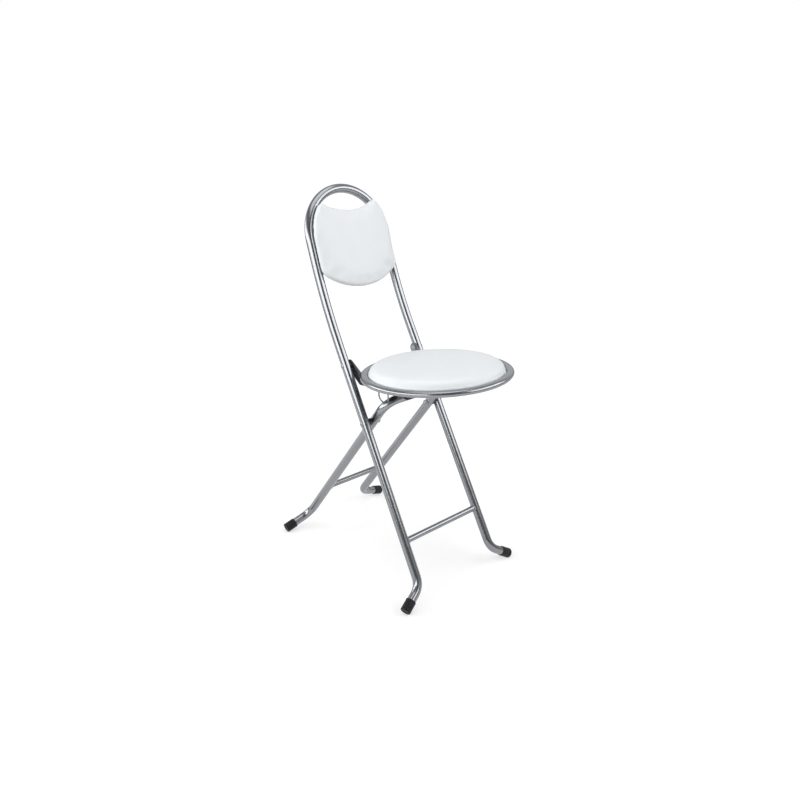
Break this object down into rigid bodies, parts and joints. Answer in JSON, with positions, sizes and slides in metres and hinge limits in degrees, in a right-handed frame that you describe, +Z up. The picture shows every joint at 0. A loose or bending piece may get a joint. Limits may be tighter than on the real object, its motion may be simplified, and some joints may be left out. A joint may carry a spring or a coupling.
{
  "type": "folding stool with backrest",
  "caption": "Folding stool of bent steel tube with a round padded seat, a padded backrest in a hoop, crossing legs and turned-out capped feet.",
  "frame": {"origin": "on the floor, under the middle of the open stool's bounding box", "axes": "+Z up, the sitter faces -Y, +X to the sitter's left; X is across the symmetry plane"},
  "size_m": [0.331, 0.5145, 0.8025],
  "materials": {
    "plated_tube": "bright plated steel tube",
    "plain_steel": "plain zinc-bright steel",
    "dark_steel": "dark plain steel plate",
    "foot_rubber": "black moulded rubber",
    "vinyl_cover": "off-white smooth vinyl",
    "painted_board": "black painted plywood",
    "black_plastic": "black moulded plastic"
  },
  "bodies": {
    "main_frame": {"main_frame_tube": "plated_tube", "front_cross_bar": "plated_tube", "front_foot_cap_left": "foot_rubber", "front_foot_cap_right": "foot_rubber", "back_board": "painted_board", "back_cushion": "vinyl_cover", "back_screws": "plain_steel", "back_tab_upper_left": "plated_tube", "back_tab_upper_right": "plated_tube", "back_tab_lower_left": "plated_tube", "back_tab_lower_right": "plated_tube", "seat_pivot_rivet_left": "plain_steel", "seat_pivot_rivet_right": "plain_steel", "seat_pivot_spacer_left": "black_plastic", "seat_pivot_spacer_right": "black_plastic", "seat_pivot_washer_left": "plain_steel", "seat_pivot_washer_right": "plain_steel", "crossing_rivet_left": "plain_steel", "crossing_rivet_right": "plain_steel", "crossing_spacer_left": "black_plastic", "crossing_spacer_right": "black_plastic"},
    "seat": {"seat_ring": "plated_tube", "seat_strap_left": "plated_tube", "seat_strap_right": "plated_tube", "seat_board": "painted_board", "seat_cushion": "vinyl_cover", "seat_screws": "plain_steel", "seat_rest_left": "black_plastic", "seat_rest_right": "black_plastic", "seat_rest_screws": "plain_steel", "seat_bracket_left": "dark_steel", "seat_bracket_right": "dark_steel"},
    "rear_frame": {"rear_frame_tube": "plated_tube", "rear_cross_bar": "plated_tube", "rear_foot_cap_left": "foot_rubber", "rear_foot_cap_right": "foot_rubber", "crossing_washer_left": "plain_steel", "crossing_washer_right": "plain_steel", "wire_bow_left": "plain_steel", "wire_bow_right": "plain_steel"}
  },
  "joints": [
    {"name": "seat_fold", "type": "hinge", "parent": "main_frame", "child": "seat", "pos_m": [0, 0.05704, 0.4542], "axis": [-1, 0, 0], "range_deg": [0, 95]},
    {"name": "rear_fold", "type": "hinge", "parent": "main_frame", "child": "rear_frame", "pos_m": [0, -0.00341, 0.34468], "axis": [-1, 0, 0], "range_deg": [0, 62.7]}
  ],
  "couplings": [
    {"joint": "rear_fold", "follows": "seat_fold", "ratio": 0.66}
  ]
}
